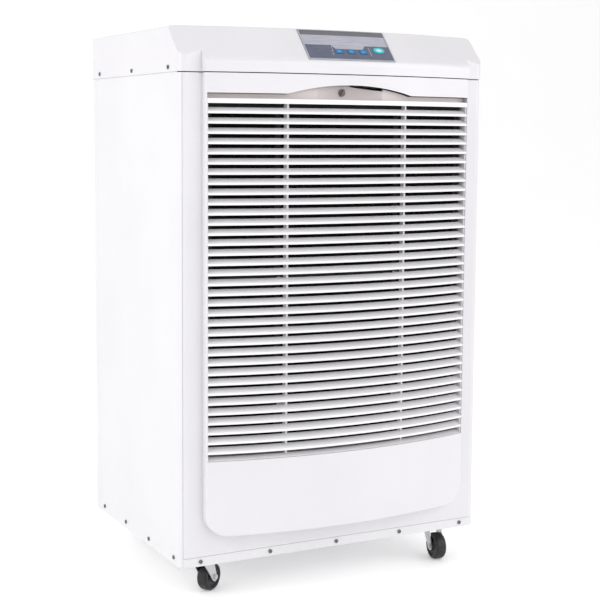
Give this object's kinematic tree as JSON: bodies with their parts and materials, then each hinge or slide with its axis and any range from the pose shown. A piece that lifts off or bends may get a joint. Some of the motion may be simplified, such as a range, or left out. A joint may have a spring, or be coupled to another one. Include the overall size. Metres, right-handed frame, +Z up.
{
  "type": "dehumidifier",
  "caption": "Upright commercial dehumidifier: white sheet cabinet on swivel casters, bowed louvred front grille, sloped control panel in a moulded cap, round rear air outlet.",
  "frame": {"origin": "centre of the overall footprint, at the level where the caster wheels meet the floor", "axes": "+Z up, -Y is the grille front, +X to the right for someone facing the front"},
  "size_m": [0.6112, 0.5134, 0.991],
  "materials": {
    "white_enamel": "satin powder coat",
    "white_moulding": "satin moulded plastic",
    "galvanised_sheet": "zinc spangle",
    "zinc_plate": "bright zinc plate",
    "wheel_black": "moulded black rubber",
    "knob_plastic": "moulded",
    "bezel_silver": "silver paint",
    "fascia_slate": "printed membrane",
    "key_blue": "backlit silicone",
    "power_teal": "backlit, pale centre",
    "board_green": "solder mask",
    "filter_plastic": "moulded",
    "filter_fabric": "woven net",
    "fin_aluminium": "pressed fins",
    "copper_tube": "drawn copper",
    "tray_plastic": "moulded",
    "hose_rubber": "clear grey",
    "compressor_black": "gloss black enamel",
    "mount_rubber": "matte",
    "motor_grey": "grey enamel",
    "shaft_steel": "ground",
    "fan_plastic": "glass-filled nylon",
    "capacitor_can": "drawn can",
    "gland_nylon": "moulded"
  },
  "bodies": {
    "cabinet": {"side_panel_left": "white_enamel", "side_panel_right": "white_enamel", "rear_panel": "white_enamel", "base_pan": "white_enamel", "rear_guard": "white_enamel", "front_panel": "white_moulding", "top_cap": "white_moulding", "top_frame": "galvanised_sheet", "bulkhead": "galvanised_sheet", "coil_end_plates": "galvanised_sheet", "electrical_box": "galvanised_sheet", "electrical_lid": "galvanised_sheet", "fan_bracket": "galvanised_sheet", "panel_screws": "zinc_plate", "caster_plates": "zinc_plate", "caster_bolts": "zinc_plate", "caster_kingpins": "zinc_plate", "compressor_bolts": "zinc_plate", "panel_bezel": "bezel_silver", "panel_fascia": "fascia_slate", "control_board": "board_green", "evaporator_fins": "fin_aluminium", "condenser_fins": "fin_aluminium", "evaporator_tube": "copper_tube", "condenser_tube": "copper_tube", "suction_pipe": "copper_tube", "discharge_pipe": "copper_tube", "liquid_line": "copper_tube", "filter_drier": "copper_tube", "condensate_tray": "tray_plastic", "drain_spigot": "tray_plastic", "drain_hose": "hose_rubber", "compressor": "compressor_black", "accumulator": "compressor_black", "compressor_grommets": "mount_rubber", "fan_motor": "motor_grey", "run_capacitor": "capacitor_can", "cable_gland": "gland_nylon"},
    "grille": {"intake_grille": "white_moulding", "filter_frame": "filter_plastic", "filter_mesh": "filter_fabric"},
    "catch": {"grille_catch": "knob_plastic"},
    "left_key": {"key_left": "key_blue"},
    "middle_key": {"key_middle": "key_blue"},
    "right_key": {"key_right": "key_blue"},
    "power": {"power_button": "power_teal"},
    "fan": {"fan_impeller": "fan_plastic", "fan_shaft": "shaft_steel"},
    "swivel_front_left": {"caster_fork_front_left": "zinc_plate", "caster_axle_front_left": "zinc_plate"},
    "wheel_front_left": {"caster_wheel_front_left": "wheel_black"},
    "swivel_front_right": {"caster_fork_front_right": "zinc_plate", "caster_axle_front_right": "zinc_plate"},
    "wheel_front_right": {"caster_wheel_front_right": "wheel_black"},
    "swivel_rear_left": {"caster_fork_rear_left": "zinc_plate", "caster_axle_rear_left": "zinc_plate"},
    "wheel_rear_left": {"caster_wheel_rear_left": "wheel_black"},
    "swivel_rear_right": {"caster_fork_rear_right": "zinc_plate", "caster_axle_rear_right": "zinc_plate"},
    "wheel_rear_right": {"caster_wheel_rear_right": "wheel_black"}
  },
  "joints": [
    {"name": "grille_tilt", "type": "hinge", "parent": "cabinet", "child": "grille", "pos_m": [0, -0.25525, 0.2523], "axis": [1, 0, 0], "range_deg": [0, 40]},
    {"name": "catch_turn", "type": "hinge", "parent": "grille", "child": "catch", "pos_m": [-0.008, -0.22025, 0.8815], "axis": [0, 1, 0], "range_deg": [0, 90]},
    {"name": "left_key_press", "type": "slide", "parent": "cabinet", "child": "left_key", "axis": [0.0169, 0.7428, -0.6693], "range_m": [0, 0.001], "stiffness_N_per_m": 400, "springref_m": -0.0005},
    {"name": "middle_key_press", "type": "slide", "parent": "cabinet", "child": "middle_key", "axis": [-0.0015, 0.743, -0.6693], "range_m": [0, 0.001], "stiffness_N_per_m": 400, "springref_m": -0.0005},
    {"name": "right_key_press", "type": "slide", "parent": "cabinet", "child": "right_key", "axis": [-0.0199, 0.7427, -0.6693], "range_m": [0, 0.001], "stiffness_N_per_m": 400, "springref_m": -0.0005},
    {"name": "power_press", "type": "slide", "parent": "cabinet", "child": "power", "axis": [-0.0458, 0.7416, -0.6693], "range_m": [0, 0.001], "stiffness_N_per_m": 400, "springref_m": -0.0005},
    {"name": "fan_spin", "type": "hinge", "parent": "cabinet", "child": "fan", "pos_m": [0, 0.07975, 0.651], "axis": [0, 1, 0], "continuous": true},
    {"name": "swivel_front_left", "type": "hinge", "parent": "cabinet", "child": "swivel_front_left", "pos_m": [-0.241, -0.15525, 0.055], "axis": [0, 0, 1], "continuous": true},
    {"name": "roll_front_left", "type": "hinge", "parent": "swivel_front_left", "child": "wheel_front_left", "pos_m": [-0.22423, -0.14436, 0.025], "axis": [-0.5446, 0.8387, 0], "continuous": true},
    {"name": "swivel_front_right", "type": "hinge", "parent": "cabinet", "child": "swivel_front_right", "pos_m": [0.241, -0.15525, 0.055], "axis": [0, 0, 1], "continuous": true},
    {"name": "roll_front_right", "type": "hinge", "parent": "swivel_front_right", "child": "wheel_front_right", "pos_m": [0.23856, -0.1751, 0.025], "axis": [0.9925, -0.1219, 0], "continuous": true},
    {"name": "swivel_rear_left", "type": "hinge", "parent": "cabinet", "child": "swivel_rear_left", "pos_m": [-0.196, 0.18075, 0.055], "axis": [0, 0, 1], "continuous": true},
    {"name": "roll_rear_left", "type": "hinge", "parent": "swivel_rear_left", "child": "wheel_rear_left", "pos_m": [-0.18661, 0.19841, 0.025], "axis": [-0.8829, 0.4695, 0], "continuous": true},
    {"name": "swivel_rear_right", "type": "hinge", "parent": "cabinet", "child": "swivel_rear_right", "pos_m": [0.196, 0.18075, 0.055], "axis": [0, 0, 1], "continuous": true},
    {"name": "roll_rear_right", "type": "hinge", "parent": "swivel_rear_right", "child": "wheel_rear_right", "pos_m": [0.19082, 0.20007, 0.025], "axis": [-0.9659, -0.2588, 0], "continuous": true}
  ]
}
